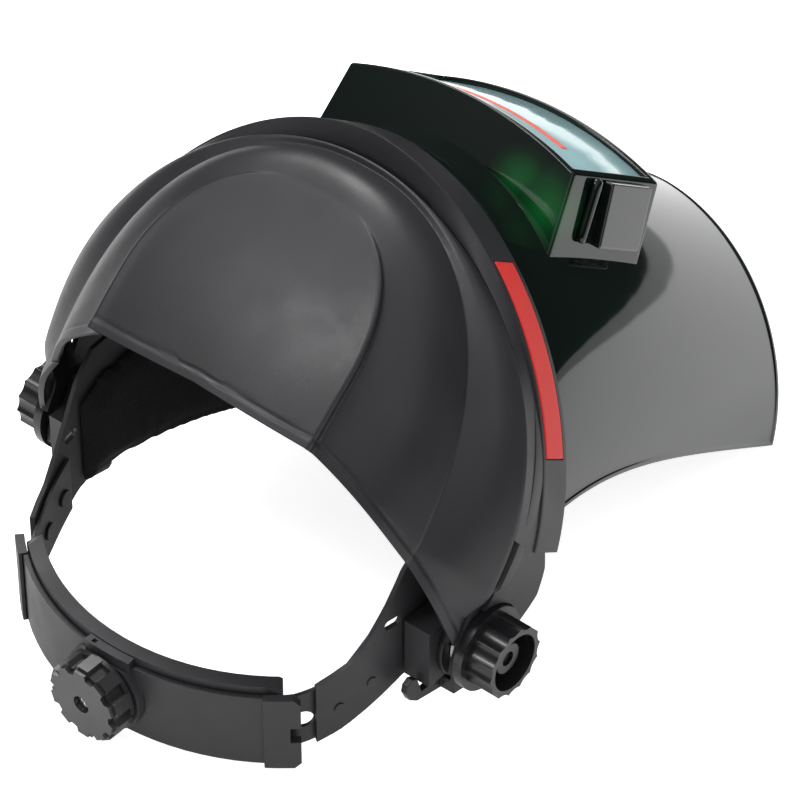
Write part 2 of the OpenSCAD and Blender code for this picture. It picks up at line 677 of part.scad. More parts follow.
module ratchet_screw() color("#b9bcc0") difference() {
    union() {
        backward(96, 12, 1.2);
        backward(knob_back_y - 4.9, 2.6, 3.4);
    }
    for (a = [0, 90]) translate([0, knob_back_y - 2.3, mid_z]) rotate([0, a, 0])
        cube([0.9, 2, 3.8], center = true);
}

headband();
forehead_pad();
temple_block_left();
temple_block_right();
pivot_stud_left();
pivot_stud_right();
stop_lever_left();
stop_lever_right();
friction_washer_left();
friction_washer_right();
rear_strap_left();
rear_strap_right();
strap_buttons();
cradle_cover();
cradle_pad();
cradle_clip_left();
cradle_clip_right();
ratchet_pinion();
detent_ring();
ratchet_knob();
ratchet_screw();
crown_shell();
ear_plate_left();
ear_plate_right();
red_insert_left();
red_insert_right();
visor();
visor_pins();
cover_lens();
filter_carrier();
filter_case();
filter_glass();
solar_panel();
arc_sensors();
circuit_board();
inner_cover_lens();
lens_clip_left();
lens_clip_right();
side_knob_left();
side_knob_right();
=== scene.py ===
import math

import bmesh
import bpy
import numpy as np
from mathutils import Matrix, Vector


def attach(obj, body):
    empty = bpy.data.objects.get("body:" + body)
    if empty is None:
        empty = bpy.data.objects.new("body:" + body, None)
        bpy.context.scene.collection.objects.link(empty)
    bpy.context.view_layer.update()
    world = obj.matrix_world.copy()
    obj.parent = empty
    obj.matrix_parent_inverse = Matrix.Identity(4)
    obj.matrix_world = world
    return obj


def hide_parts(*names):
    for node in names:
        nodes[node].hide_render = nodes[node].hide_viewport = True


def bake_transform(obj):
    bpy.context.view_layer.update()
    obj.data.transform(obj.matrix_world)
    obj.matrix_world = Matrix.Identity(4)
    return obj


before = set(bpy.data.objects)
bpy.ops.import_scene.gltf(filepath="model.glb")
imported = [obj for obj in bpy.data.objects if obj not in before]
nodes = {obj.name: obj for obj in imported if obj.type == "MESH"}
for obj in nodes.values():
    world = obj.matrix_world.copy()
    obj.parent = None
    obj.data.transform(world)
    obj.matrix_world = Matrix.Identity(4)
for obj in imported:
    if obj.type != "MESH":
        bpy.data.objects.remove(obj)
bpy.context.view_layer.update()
MM = 0.001
WELD = 2e-5                       # metres within which the corners of a CAD mesh are one point
FLIP = math.radians(56.0)         # how far the shield is drawn up from its worn position


# ---------------------------------------------------------------- geometry helpers

def flipped(p):
    """Worn-position points (x, forward, up) in mm, turned to the frame with the shield flipped up."""
    p = np.asarray(p, float)
    x, f, z = p[..., 0], p[..., 1], p[..., 2]
    c, s = math.cos(FLIP), math.sin(FLIP)
    return np.stack([x, -f * c + z * s, f * s + z * c], -1)


def mix(a, b, w):
    return a + (b - a) * w


def smooth(w):
    """A soft step from 0 to 1."""
    w = np.clip(w, 0.0, 1.0)
    return w * w * (3 - 2 * w)


def signed_pow(v, n):
    """A power that keeps the sign."""
    return np.sign(v) * np.abs(v) ** n


def plan(t, half, front, back, f0, n):
    """A superellipse in plan round (0, f0), with its own reach to the front and to the back; t in radians."""
    cos = np.cos(t)
    x = half * signed_pow(np.sin(t), 2 / n)
    return x, f0 + np.where(cos >= 0, front, back) * signed_pow(cos, 2 / n)


def shade_smooth(mesh):
    mesh.polygons.foreach_set("use_smooth", [True] * len(mesh.polygons))


def make(name, verts_mm, faces, body, material, slot=None, shade=True):
    """A mesh from points in mm, riding on a body when one is named."""
    points = np.asarray(verts_mm, float).reshape(-1, 3) * MM
    mesh = bpy.data.meshes.new(name)
    mesh.from_pydata([tuple(v) for v in points], [], [tuple(f) for f in faces])
    mesh.validate()
    if shade:
        shade_smooth(mesh)
    obj = bpy.data.objects.new(name, mesh)
    bpy.context.scene.collection.objects.link(obj)
    obj.data.materials.append(material)
    if body:
        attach(obj, body)
    return obj


def grid_faces(rows, cols, wrap_rows=False, wrap_cols=False):
    """The four-sided faces of a grid of points that is numbered row by row."""
    faces = []
    for r in range(rows if wrap_rows else rows - 1):
        for c in range(cols if wrap_cols else cols - 1):
            here, beyond = r * cols, ((r + 1) % rows) * cols
            after = (c + 1) % cols
            faces.append((here + c, here + after, beyond + after, beyond + c))
    return faces


def end_caps(rows, cols):
    """One face over each end of a strip whose rows run lengthways and wrap round."""
    first = tuple(r * cols for r in range(rows))
    last = tuple(r * cols + cols - 1 for r in reversed(range(rows)))
    return [first, last]


def recalc(obj):
    """Joins coincident points and makes the faces' directions agree."""
    bm = bmesh.new()
    bm.from_mesh(obj.data)
    bmesh.ops.remove_doubles(bm, verts=bm.verts, dist=1e-6)
    bmesh.ops.recalc_face_normals(bm, faces=bm.faces)
    bm.to_mesh(obj.data)
    bm.free()
    shade_smooth(obj.data)


def face_outward(obj, outwardness):
    """Turns an open sheet over when its normals, scored by a function, point inward on the whole."""
    bm = bmesh.new()
    bm.from_mesh(obj.data)
    if sum(outwardness(f.normal) for f in bm.faces) < 0:
        bmesh.ops.reverse_faces(bm, faces=bm.faces)
    bm.to_mesh(obj.data)
    bm.free()


def modify(obj, kind, name, **settings):
    modifier = obj.modifiers.new(name, kind)
    for key, value in settings.items():
        setattr(modifier, key, value)
    return modifier


def round_edges(obj, width, segments, angle):
    """Rounds the edges that turn by more than the angle in degrees; the width is in mm."""
    modify(obj, "BEVEL", "edges", width=width * MM, segments=segments, limit_method="ANGLE",
           angle_limit=math.radians(angle))


def soften(obj, width, segments, angle):
    """Rounded edges, and shading weighted so that the flat faces stay flat."""
    if width:
        round_edges(obj, width, segments, angle)
    modify(obj, "WEIGHTED_NORMAL", "normals", keep_sharp=True, weight=50)


def baked(obj):
    """The mesh with its modifiers applied."""
    return bpy.data.meshes.new_from_object(obj.evaluated_get(bpy.context.evaluated_depsgraph_get()))


def dress(name, material, width):
    """A CAD node kept as it is, with softened edges and its own material."""
    obj = nodes[name]
    obj.data.materials.clear()
    obj.data.materials.append(material)
    shade_smooth(obj.data)
    modify(obj, "WELD", "weld", merge_threshold=WELD)
    modify(obj, "DECIMATE", "planes", decimate_type="DISSOLVE", angle_limit=math.radians(2.0))
    soften(obj, width, 2, 30)


# ---------------------------------------------------------------- materials

class Nodes:
    """A short way to write a node tree."""

    def __init__(self, name):
        self.mat = bpy.data.materials.new(name)
        self.mat.use_nodes = True
        self.tree = self.mat.node_tree
        self.bsdf = self.tree.nodes["Principled BSDF"]

    def feed(self, socket, value):
        """Sets an input, or links it when the value is another node's output."""
        if isinstance(value, bpy.types.NodeSocket):
            self.tree.links.new(value, socket)
        else:
            socket.default_value = value

    def add(self, kind, **inputs):
        """A node with its inputs and settings given by name."""
        node = self.tree.nodes.new(kind)
        for name, value in inputs.items():
            key = name.replace("_", " ")
            if key in node.inputs:
                self.feed(node.inputs[key], value)
            else:
                setattr(node, name, value)
        return node

    def set(self, **inputs):
        """Inputs of the surface shader, by name."""
        for name, value in inputs.items():
            self.feed(self.bsdf.inputs[name.replace("_", " ")], value)

    def math(self, operation, a, b):
        node = self.add("ShaderNodeMath", operation=operation)
        self.feed(node.inputs[0], a)
        self.feed(node.inputs[1], b)
        return node.outputs[0]

    def blend(self, factor, a, b, how="MIX"):
        """Colour a, going over to colour b with the factor."""
        node = self.add("ShaderNodeMix", data_type="RGBA", blend_type=how)
        self.feed(node.inputs["Factor"], factor)
        self.feed(node.inputs[6], a)
        self.feed(node.inputs[7], b)
        return node.outputs[2]

    def coords(self):
        return self.add("ShaderNodeTexCoord").outputs["Object"]

    def noise(self, vector, scale, detail=3.0, rough=0.5):
        node = self.add("ShaderNodeTexNoise", Vector=vector, Scale=scale, Detail=detail, Roughness=rough)
        return node.outputs["Fac"]

    def ramp(self, fac, stops):
        """A colour ramp with (position, colour) stops."""
        node = self.add("ShaderNodeValToRGB", Fac=fac)
        ramp = node.color_ramp
        while len(ramp.elements) < len(stops):
            ramp.elements.new(0.5)
        for e, (pos, col) in zip(ramp.elements, stops):
            e.position = pos
            e.color = col if len(col) == 4 else (*col, 1.0)
        return node.outputs["Color"]

    def bump(self, height, strength, distance):
        node = self.add("ShaderNodeBump", Height=height, Strength=strength, Distance=distance)
        return node.outputs["Normal"]


def grey(v):
    return (v, v, v, 1.0)


def tone(rgb, k):
    """A colour made k times as light."""
    return tuple(min(1.0, c * k) for c in rgb) + (1.0,)


def drift(n, vector, scale, rgb, low, high, detail=3.0):
    """A colour that wanders slowly between two tones of itself."""
    return n.ramp(n.noise(vector, scale, detail), [(0.3, tone(rgb, low)), (0.7, tone(rgb, high))])


def plastic(name, rgb, rough, grain=0.3, wander=0.25, specks=0.0, coat=0.0):
    """Moulded plastic: fine grain in the bump, colour and roughness that drift, a few dust specks."""
    n = Nodes(name)
    co = n.coords()
    fine = n.noise(co, 2600.0, 2.0, 0.6)
    base = drift(n, co, 18.0, rgb, 1 - wander, 1 + wander, 2.0)
    if specks:
        vor = n.add("ShaderNodeTexVoronoi", Vector=co, Scale=150.0, feature="F1")
        dots = n.ramp(vor.outputs["Distance"], [(0.0, grey(1.0)), (0.035, grey(0.0))])
        gate = n.ramp(n.noise(co, 60.0, 1.0), [(0.62, grey(0.0)), (0.68, grey(1.0))])
        base = n.blend(n.math("MULTIPLY", dots, gate), base, grey(specks))
    sheen = n.ramp(n.noise(co, 45.0, 3.0, 0.6), [(0.3, grey(rough - 0.05)), (0.7, grey(rough + 0.05))])
    n.set(Base_Color=base, Roughness=sheen, IOR=1.46, Normal=n.bump(fine, grain, 0.00012))
    if coat:
        n.set(Coat_Weight=coat, Coat_Roughness=0.08)
    return n.mat


M = {
    "crown": plastic("moulded_charcoal", (0.0145, 0.0145, 0.0168), 0.42, grain=0.35, specks=0.25),
    "band": plastic("moulded_band", (0.015, 0.015, 0.017), 0.5),
    "cradle": plastic("moulded_cradle", (0.017, 0.017, 0.019), 0.48, specks=0.12),
    "strap": plastic("moulded_strap", (0.014, 0.014, 0.016), 0.42, grain=0.2),
    "dark": plastic("moulded_dark", (0.01, 0.01, 0.011), 0.42, grain=0.2),
    "knob": plastic("moulded_knob", (0.008, 0.008, 0.009), 0.3, grain=0.08, coat=0.12),
    "ratchet": plastic("moulded_ratchet", (0.014, 0.014, 0.015), 0.36, grain=0.12, coat=0.15),
    # painted shade: near black for the groove behind the rim band, where shade falls
    "groove_shade": plastic("painted_groove_shade", (0.002, 0.002, 0.0022), 0.7),
    "red": plastic("moulded_red", (0.50, 0.012, 0.008), 0.5, grain=0.12, wander=0.06),
    "washer": plastic("nylon", (0.7, 0.7, 0.66), 0.4, grain=0.1, wander=0.04),
    "board": plastic("board", (0.02, 0.16, 0.05), 0.5, grain=0.2),
    "solar": plastic("solar", (0.05, 0.01, 0.02), 0.2, grain=0.0),
    "case": plastic("moulded_case", (0.012, 0.012, 0.013), 0.45, grain=0.2),
    "latch": plastic("smoked_grip", (0.004, 0.006, 0.0055), 0.16, grain=0.05, coat=0.4),
    "print": plastic("red_print", (0.75, 0.09, 0.05), 0.5, grain=0.05, wander=0.05),
}


def gloss(n, vector, rough, waves):
    """A clear-coated surface with the faint waves of a pressed sheet."""
    n.set(Roughness=rough, Coat_Roughness=0.02, Normal=n.bump(n.noise(vector, 26.0, 2.0), waves, 0.0008))


def visor_material():
    n = Nodes("tinted_visor")
    co = n.coords()
    base = n.ramp(n.noise(co, 9.0, 2.0), [(0.3, (0.0012, 0.0035, 0.0025)), (0.7, (0.002, 0.0065, 0.0045))])
    n.set(Base_Color=base, IOR=1.52, Coat_Weight=0.2)
    gloss(n, co, 0.045, 0.06)
    return n.mat


M["visor"] = visor_material()

# painted glow: where light coming through the box's top wall would show green, painted into its base colour;
# worn-position point in mm, radius in metres
PAINTED_GLOW = (((-50.0, 160.0, -22.5), 0.018), ((-36.0, 166.0, -22.5), 0.013))


def box_material():
    """Dark green see-through plastic, read as near black, with a blotchy green glow painted into its colour
    near one end: painted light coming through the top wall.
    """
    n = Nodes("tinted_box_painted_glow")
    co = n.coords()
    glow_spots = []
    for centre, radius in PAINTED_GLOW:
        away = n.add("ShaderNodeVectorMath", operation="DISTANCE")
        n.feed(away.inputs[0], co)
        n.feed(away.inputs[1], tuple(flipped(centre) * MM))
        glow_spots.append(n.ramp(away.outputs["Value"], [(0.0, grey(1.0)), (radius, grey(0.0))]))
    glow_blotch = n.ramp(n.noise(co, 35.0, 1.0, 0.4), [(0.35, grey(0.6)), (0.6, grey(1.0))])
    # painted glow: the green of light shining through the wall is painted into the base colour here
    glow = n.math("MULTIPLY", n.math("MAXIMUM", *glow_spots), glow_blotch)
    base = n.blend(glow, (0.0015, 0.0045, 0.003, 1), (0.004, 0.085, 0.018, 1))
    n.set(Base_Color=base, IOR=1.42, Coat_Weight=0.1)
    gloss(n, co, 0.05, 0.04)
    return n.mat


M["box"] = box_material()


def lens_material(name, rgb, alpha, rough=0.05):
    n = Nodes(name)
    base = drift(n, n.coords(), 30.0, rgb, 0.92, 1.06)
    n.set(Base_Color=base, Roughness=rough, IOR=1.5, Alpha=alpha)
    return n.mat


M["lens"] = lens_material("cover_lens", (0.27, 0.42, 0.44), 0.9, 0.1)
M["glass"] = lens_material("filter_glass", (0.05, 0.16, 0.14), 0.9)
M["inner"] = lens_material("inner_lens", (0.5, 0.6, 0.58), 0.35)


def steel(name, rgb, rough):
    n = Nodes(name)
    co = n.coords()
    n.set(Base_Color=drift(n, co, 400.0, rgb, 0.85, 1.1), Metallic=1.0, Roughness=rough,
          Normal=n.bump(n.noise(co, 3000.0, 2.0), 0.1, 0.0001))
    return n.mat


M["screw"] = steel("zinc_screw", (0.8, 0.8, 0.82), 0.22)
M["spring"] = steel("spring", (0.55, 0.55, 0.57), 0.35)


def cloth_material():
    n = Nodes("sweatband_cloth")
    weave = n.add("ShaderNodeTexVoronoi", Vector=n.coords(), Scale=900.0).outputs["Distance"]
    base = n.ramp(weave, [(0.0, (0.0025, 0.0025, 0.003)), (0.6, (0.008, 0.008, 0.009))])
    n.set(Base_Color=base, Roughness=0.95, Specular_IOR_Level=0.2, Sheen_Weight=0.04, Sheen_Roughness=0.5,
          Normal=n.bump(weave, 0.5, 0.0003))
    return n.mat


M["cloth"] = cloth_material()


# ---------------------------------------------------------------- crown
#
# The shield's shapes are worked out in its worn position, in mm: x sideways, f forward, z up.

RIM_HALF, RIM_REACH, RIM_END = 119.5, 167.0, 44.0        # half width, front and rear end of the rim band
RIM_F0, RIM_BACK, RIM_N = 40, 150, 1.85
LOW_EDGE, TOP_EDGE = (0.2, -20), (0.2126, -3)            # slope and height of the rim band's edges
RED_FROM, RED_TO = 35, 70                                # degrees round the rim that the red strips take
BASE_LINE = (RIM_HALF - 1.5, RIM_REACH - 57.0, 150, 45, 1.95)      # half width, reach front and back, f0, n
RIDGE_LINE = (94, 114, 50, 40, 2.2)
BASE_RISE, RIDGE_RISE = (0.064, 21), (-0.107, 53)        # slope and height of both lines
BASE_END, RIDGE_END, CREASE_END = 108, 102, 98           # degrees round where each line meets the rear edge
CREASE_HALF, CREASE_FRONT, CREASE_F0, CREASE_N = 57.0, 57, 85.0, 2.3
TOP, CAMBER, DROOP = 97.5, 4.0, 0.0019                   # the hood's height, crown and fall to the front
HOOD_REAR = 60.5                                         # the middle of the hood's rear edge
SEAM_Z = 12.0                                            # the crown's wall starts here, inside the rim band
WALL = 2.5
KNOB_R, KNOB_FACE = 24.5, 109.4                          # room left for the side knob's flange
CREASE_STEP, SHOULDER_STEP, GROOVE, BORDER = 4.2, 0.9, 1.5, 0.7
BEAD, BEAD_W = 0.55, 3.2                                 # the bead along the rear edge


def hood_z(f):
    """The height of the hood's side lines; the hood's middle stands a camber above them."""
    return TOP - CAMBER - DROOP * f * f


def clear_knob(p):
    """Keeps the crown inside the side knob's flange near the flip axis."""
    cap = KNOB_FACE + np.maximum(0, np.hypot(p[..., 1], p[..., 2]) - KNOB_R)
    q = p.copy()
    q[..., 0] = np.clip(p[..., 0], -cap, cap)
    return q


def risen(line, rise, up=0.0):
    """A plan line lifted on to a slope."""
    x, f = line
    slope, height = rise
    return np.stack([x, f, slope * f + height + up], -1)


def base_curve(t):
    """The line where the crown rises from the rim band."""
    return clear_knob(risen(plan(t, *BASE_LINE), BASE_RISE))


def ridge_curve(t):
    """The soft shoulder half way up the crown."""
    return risen(plan(t, *RIDGE_LINE), RIDGE_RISE)


def crease_curve(t):
    """The edge of the hood."""
    x, f = plan(t, CREASE_HALF, CREASE_FRONT, 150, CREASE_F0, CREASE_N)
    return np.stack([x, f, hood_z(f)], -1)


def hood_curve(t, w):
    """The crease drawn in towards the middle of the rear edge, on the cambered hood."""
    c = crease_curve(t)
    x = c[:, 0] * (1 - w)
    f = mix(c[:, 1], HOOD_REAR, w)
    ahead = np.maximum(0, f - CREASE_F0) / CREASE_FRONT
    r = np.minimum(1, ((np.abs(x / CREASE_HALF)) ** CREASE_N + ahead ** CREASE_N) ** (1 / CREASE_N))
    return np.stack([x, f, hood_z(f) + CAMBER * (1 - r * r)], -1)


def bulged(a, b, w, out, up):
    """A line between two others, swelled outward and upward."""
    p = mix(a, b, w)
    s = math.sin(math.pi * w)
    m = np.hypot(p[:, 0], p[:, 1])
    q = p.copy()
    q[:, 0] *= 1 + out * s / m
    q[:, 1] *= 1 + out * s / m
    q[:, 2] += up * s
    return q


def crown_grid():
    """The crown's points, the column places from -1 to 1, and a mark for each row: 1 to 2 is the wall behind
    the rim band, 2 to 3 the rise to the shoulder, 3 to 4 the rise to the crease and 4 to 5 the hood."""
    near_edge = 1 - np.array([0.003, 0.006, 0.009, 0.013, 0.017, 0.021, 0.026, 0.03, 0.034, 0.038])
    u = np.unique(np.round(np.concatenate([np.linspace(-1, 1, 181), -near_edge, near_edge]), 6))
    tb, tr, tc = (u * math.radians(end) for end in (BASE_END, RIDGE_END, CREASE_END))
    rows, marks = [], []
    base = base_curve(tb)
    wall = {0.0: 1.0, 0.3: 1.1, 0.50: 1.2, 0.54: 1.3, 0.60: 1.5, 0.88: 1.6, 0.93: 1.8, 1.0: 2.0}
    for height, mark in wall.items():
        row = base.copy()
        row[:, 2] = mix(SEAM_Z, base[:, 2], height)
        rows.append(clear_knob(row))
        marks.append(mark)
    for w in [*np.linspace(0, 0.94, 18)[1:], 0.96, 0.975, 0.99, 1.0]:
        rows.append(bulged(base, ridge_curve(tr), w, 2.5, 1.5))
        marks.append(2 + w)
    to_crease = [*np.linspace(0.08, 0.88, 18), 0.91, 0.93, 0.95, 0.962, 0.972, 0.981, 0.99, 1.0]
    for w in [0.01, 0.025, 0.05, *to_crease]:
        rows.append(bulged(ridge_curve(tr), crease_curve(tc), w, 3, 2))
        marks.append(3 + w)
    to_middle = [*np.linspace(0.1, 0.82, 16), *np.linspace(0.828, 0.976, 20), 0.985, 0.992, 1.0]
    for w in [0.012, 0.03, 0.06, *to_middle]:
        rows.append(hood_curve(tc, w))
        marks.append(4 + w)
    return np.array(rows), u, np.array(marks)


def grid_normals(g, v):
    """Outward directions; the hood's last rows meet in one point, so they take one fixed direction."""
    nrm = np.cross(np.gradient(g, axis=1), np.gradient(g, axis=0))
    nrm /= np.linalg.norm(nrm, axis=2, keepdims=True) + 1e-9
    if nrm[30, 90, 2] < 0:
        nrm = -nrm
    pole = smooth((v - 4.8) / 0.1)[:, None, None]
    return mix(nrm, np.array([0.0, 0.22, 0.975]), pole)


def from_rear_edge(g):
    """Each point's distance from the crown's rear edge."""
    edges = (g[:, 0], g[:, -1])
    between = [mix(part[:-1], part[1:], k) for part in edges for k in (0.25, 0.5, 0.75)]
    edge = np.concatenate([*edges, *between])
    return np.array([np.sqrt(((edge - q) ** 2).sum(1).min()) for q in g.reshape(-1, 3)]).reshape(g.shape[:2])


def moulded_relief(g, u, v):
    """How far each point stands out from the plain shape: the steps, the groove and the rear bead."""
    mark = v[:, None]
    side = np.abs(u)[None, :]
    d = np.zeros(g.shape[:2])
    # a step down at the crease, deeper towards the sides
    step = 0.05
    fall = 4 - mark
    deep = CREASE_STEP * smooth((side - 0.12) / 0.85)
    flank = (mark < 4) & (mark >= 3)
    d -= np.where(flank, deep * smooth(fall / step) * (1 - smooth((fall - step) / 0.62)), 0)
    # a slight one under the shoulder
    drop = 3 - mark
    below = (mark < 3) & (mark >= 2)
    d -= np.where(below, SHOULDER_STEP * smooth(drop / 0.03) * (1 - smooth((drop - 0.03) / 0.5)), 0)
    # the groove behind the rim band
    d -= np.where((mark > 1.25) & (mark < 1.65), GROOVE, 0)
    # the bead along the rear edge
    away = from_rear_edge(g)
    above = mark >= 2
    d += np.where(above, BEAD * (1 - smooth((away - BEAD_W) / 0.7)), 0)
    d -= np.where(above, 0.35 * np.exp(-((away - BEAD_W - 1.4) / 0.55) ** 2), 0)
    # the hood's raised border
    d += np.where(mark > 4, BORDER * side ** 2 * (1 - smooth((mark - 4) / 0.1)), 0)
    return d


def crown_body():
    g, u, v = crown_grid()
    g = g + grid_normals(g, v) * moulded_relief(g, u, v)[..., None]
    rows, cols = g.shape[:2]
    obj = make("crown_moulding", flipped(g), grid_faces(rows, cols), "mask", M["crown"], "charcoal_plastic")
    obj.data.materials.append(M["groove_shade"])
    # the groove's faces take the near-black painted-shade material
    for face in obj.data.polygons:
        r = face.index // (cols - 1)
        face.material_index = 1 if 1.3 <= v[r] < 1.6 and v[r + 1] <= 1.6 else 0
    recalc(obj)
    face_outward(obj, lambda normal: normal.z)
    modify(obj, "SOLIDIFY", "wall", thickness=WALL * MM, offset=-1.0, use_even_offset=True)
    round_edges(obj, 0.7, 3, 60)
    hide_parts("crown_shell")


def rim_row(ts, inset, edge, up):
    """A line round the rim band: an inset from its face, and a height over its lower or upper edge."""
    return risen(plan(ts, RIM_HALF - inset, RIM_REACH - RIM_F0 - inset, RIM_BACK, RIM_F0, RIM_N), edge, up)


def strip(name, rows, body, material, slot):
    """A closed bar from the lines that run along it."""
    g = flipped(np.array(rows))
    faces = grid_faces(*g.shape[:2], wrap_rows=True) + end_caps(*g.shape[:2])
    obj = make(name, g, faces, body, material, slot)
    recalc(obj)
    return obj


def rim_band():
    end = math.acos(signed_pow((RIM_END - RIM_F0) / (RIM_REACH - RIM_F0), RIM_N / 2))
    lo, hi = math.radians(RED_FROM), math.radians(RED_TO)
    at_steps = [side * (a + off) for a in (lo, hi) for side in (-1, 1) for off in (-0.0012, 0, 0.0012)]
    ts = np.array(sorted([*np.linspace(-end, end, 221), *at_steps]))
    recess = ((np.abs(ts) > lo) & (np.abs(ts) < hi)).astype(float)[:, None]

    def let_in(edge, up):
        """A line that steps in where the red strips sit."""
        return mix(rim_row(ts, 0.0, edge, up), rim_row(ts, 1.3, edge, up), recess)

    crest = rim_row(ts, 0.9, TOP_EDGE, 0.0)
    base = base_curve(ts)
    inner = base * [0.985, 0.985, 1.0] - [0, 0, 3.5]
    face = [rim_row(ts, 0.5, LOW_EDGE, 0.0), rim_row(ts, 0.0, LOW_EDGE, 0.5), rim_row(ts, 0.0, LOW_EDGE, 2.6),
            let_in(LOW_EDGE, 2.9), let_in(TOP_EDGE, -1.9), rim_row(ts, 0.0, TOP_EDGE, -1.6),
            rim_row(ts, 0.0, TOP_EDGE, -0.7), rim_row(ts, 0.25, TOP_EDGE, -0.2)]
    top = [crest, mix(crest, base, 0.3), mix(crest, base, 0.7), mix(crest, base, 0.96) - [0, 0, 0.4]]
    back = [inner, rim_row(ts, 2.5, TOP_EDGE, -3.2), rim_row(ts, 2.5, LOW_EDGE, 0.4),
            rim_row(ts, 2.1, LOW_EDGE, 0.0)]
    soften(strip("rim_band", face + top + back, "mask", M["crown"], "charcoal_plastic"), 0.3, 2, 38)


def red_insert(side):
    name = "left" if side > 0 else "right"
    ts = np.linspace(math.radians(RED_FROM + 0.25), math.radians(RED_TO - 0.25), 60) * side
    rows = [rim_row(ts, *line) for line in (
        (1.2, LOW_EDGE, 3.2), (-0.1, LOW_EDGE, 3.2), (-0.45, LOW_EDGE, 3.7),
        (-0.45, TOP_EDGE, -2.6), (-0.1, TOP_EDGE, -2.1), (1.2, TOP_EDGE, -2.1))]
    obj = strip("red_strip_" + name, rows, "mask", M["red"], "red_plastic")
    soften(obj, 0.35, 2, 30)
    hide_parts("red_insert_" + name)


crown_body()
rim_band()
red_insert(1)
red_insert(-1)


# ---------------------------------------------------------------- visor and lens box

V_DROP, V_N = 200.0, 1.85                                # how far down the visor reaches, and its roundness
VISOR_GAP, VISOR_TAPER, VISOR_BELLY = 4.3, 16.5, 5.5     # inset in the rim, taper to the chin, front bulge
VISOR_TUCK = 7                                           # how far its top runs up behind the rim band
VISOR_LIP = 0.55                                         # how far its edge is turned out
WINDOW_HALF, WINDOW_RISE = 56.2, 33.2
BOX_W, BOX_H, BOX_TOP = 115.4, 69.0, -22.5               # the lens box's face
BOX_REACH, BOX_BEND = 187.7, 176.0                       # its front, and the radius that the face is bent to
BOX_LOW = BOX_TOP - BOX_H
BOX_MID = (BOX_LOW + BOX_TOP) / 2
BOX_FLARE, BOX_DEPTH = 5.5, 53.7                         # how much wider each side gets over the depth


def drop_w(z):
    """0 at the brow, 1 at the chin."""
    return np.clip((8 - z) / (8 + V_DROP), 0, 1)


def visor_a(z, inset=0.0):
    """The visor's half width at a height."""
    return RIM_HALF - VISOR_GAP - VISOR_TAPER * drop_w(z) ** 1.4 - inset


def visor_f0(z):
    return 40 + 30 * drop_w(z)


def visor_front(z):
    w = drop_w(z)
    return RIM_REACH - 3.5 + VISOR_BELLY * np.sin(math.pi * w ** 0.6) - w


def visor_f(x, z, inset):
    """How far forward the visor's face is at a place sideways and up."""
    a = visor_a(z, inset)
    b = visor_front(z) - visor_f0(z) - inset
    return visor_f0(z) + b * np.maximum(0, 1 - np.abs(x / a) ** V_N) ** (1 / V_N)


def visor_row(us, s):
    """A line across the visor: s runs from 0 at the brow to 1 at the chin."""
    slope, height = LOW_EDGE
    brow = slope * mix(50, 164, np.cos(np.pi / 2 * us) ** 0.9) + height + VISOR_TUCK
    z = mix(brow, -V_DROP, s)
    f0 = visor_f0(z)
    b = visor_front(z) - f0
    side_f = 81 - 28 * np.exp(z / 45)
    t = us * np.arccos(np.clip(signed_pow((side_f - f0) / b, V_N / 2), -1, 1))
    x, f = plan(t, visor_a(z), b, 60, f0, V_N)
    lip = VISOR_LIP * np.maximum(smooth((s - 0.985) / 0.008), smooth((np.abs(us) - 0.985) / 0.008))
    grow = 1 + lip / np.hypot(x, f - f0)
    return np.stack([x * grow, f0 + (f - f0) * grow, z], -1)


def box_block(half, low, high, f0, f1):
    """The corners and faces of a plain block, for cutting."""
    corners = [[x, f, z] for f in (f0, f1) for x in (-half, half) for z in (low, high)]
    return flipped(np.array(corners)), [(0, 1, 3, 2), (4, 6, 7, 5), (0, 4, 5, 1), (2, 3, 7, 6), (0, 2, 6, 4),
                                        (1, 5, 7, 3)]


def visor_sheet():
    """The wrap-round visor, with a turned lip and the window behind the lens box cut through."""
    fine = np.array([0.984, 0.987, 0.990, 0.993, 0.996])
    us = np.unique(np.concatenate([np.linspace(-1, 1, 161), fine, -fine]))
    ss = np.unique(np.concatenate([np.linspace(0, 1, 90), fine]))
    g = flipped(np.array([visor_row(us, s) for s in ss]))
    obj = make("visor_sheet", g, grid_faces(*g.shape[:2]), "mask", M["visor"], "tinted_visor")
    recalc(obj)
    face_outward(obj, lambda normal: normal.z - normal.y)
    modify(obj, "SOLIDIFY", "wall", thickness=2 * MM, offset=-1.0, use_even_offset=True)
    window = box_block(WINDOW_HALF, BOX_MID - WINDOW_RISE, BOX_MID + WINDOW_RISE, 120, 200)
    cut = make("window_cut", *window, None, M["visor"], shade=False)
    modify(obj, "BOOLEAN", "window", operation="DIFFERENCE", object=cut, solver="EXACT")
    done = baked(obj)
    obj.modifiers.clear()
    obj.data = done
    bpy.data.objects.remove(cut)
    round_edges(obj, 0.6, 3, 50)
    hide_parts("visor")


def rounded_rect(half, low, high, r, n=6, per=24):
    """Points round a rectangle with rounded corners, from the lower right, counter-clockwise."""
    arcs = []
    for cx, cz, start in ((half - r, low + r, -90), (half - r, high - r, 0), (r - half, high - r, 90),
                          (r - half, low + r, 180)):
        turns = [math.radians(start + 90 * k / n) for k in range(n + 1)]
        arcs.append([(cx + r * math.cos(a), cz + r * math.sin(a)) for a in turns])
    points = []
    for i, arc in enumerate(arcs):
        (x0, z0), (x1, z1) = arc[-1], arcs[(i + 1) % 4][0]
        points += arc + [(mix(x0, x1, k / per), mix(z0, z1, k / per)) for k in range(1, per)]
    return np.array(points)


def box_front(x, depth):
    """How far forward the bent face is, at a depth below it."""
    return BOX_REACH - BOX_BEND + np.sqrt((BOX_BEND - depth) ** 2 - x ** 2)


def box_ring(inset, depth, r):
    """A line round the lens box's face."""
    p = rounded_rect(BOX_W / 2 - inset, BOX_LOW + inset, BOX_TOP - inset, r)
    return np.stack([p[:, 0], box_front(p[:, 0], depth), p[:, 1]], -1)


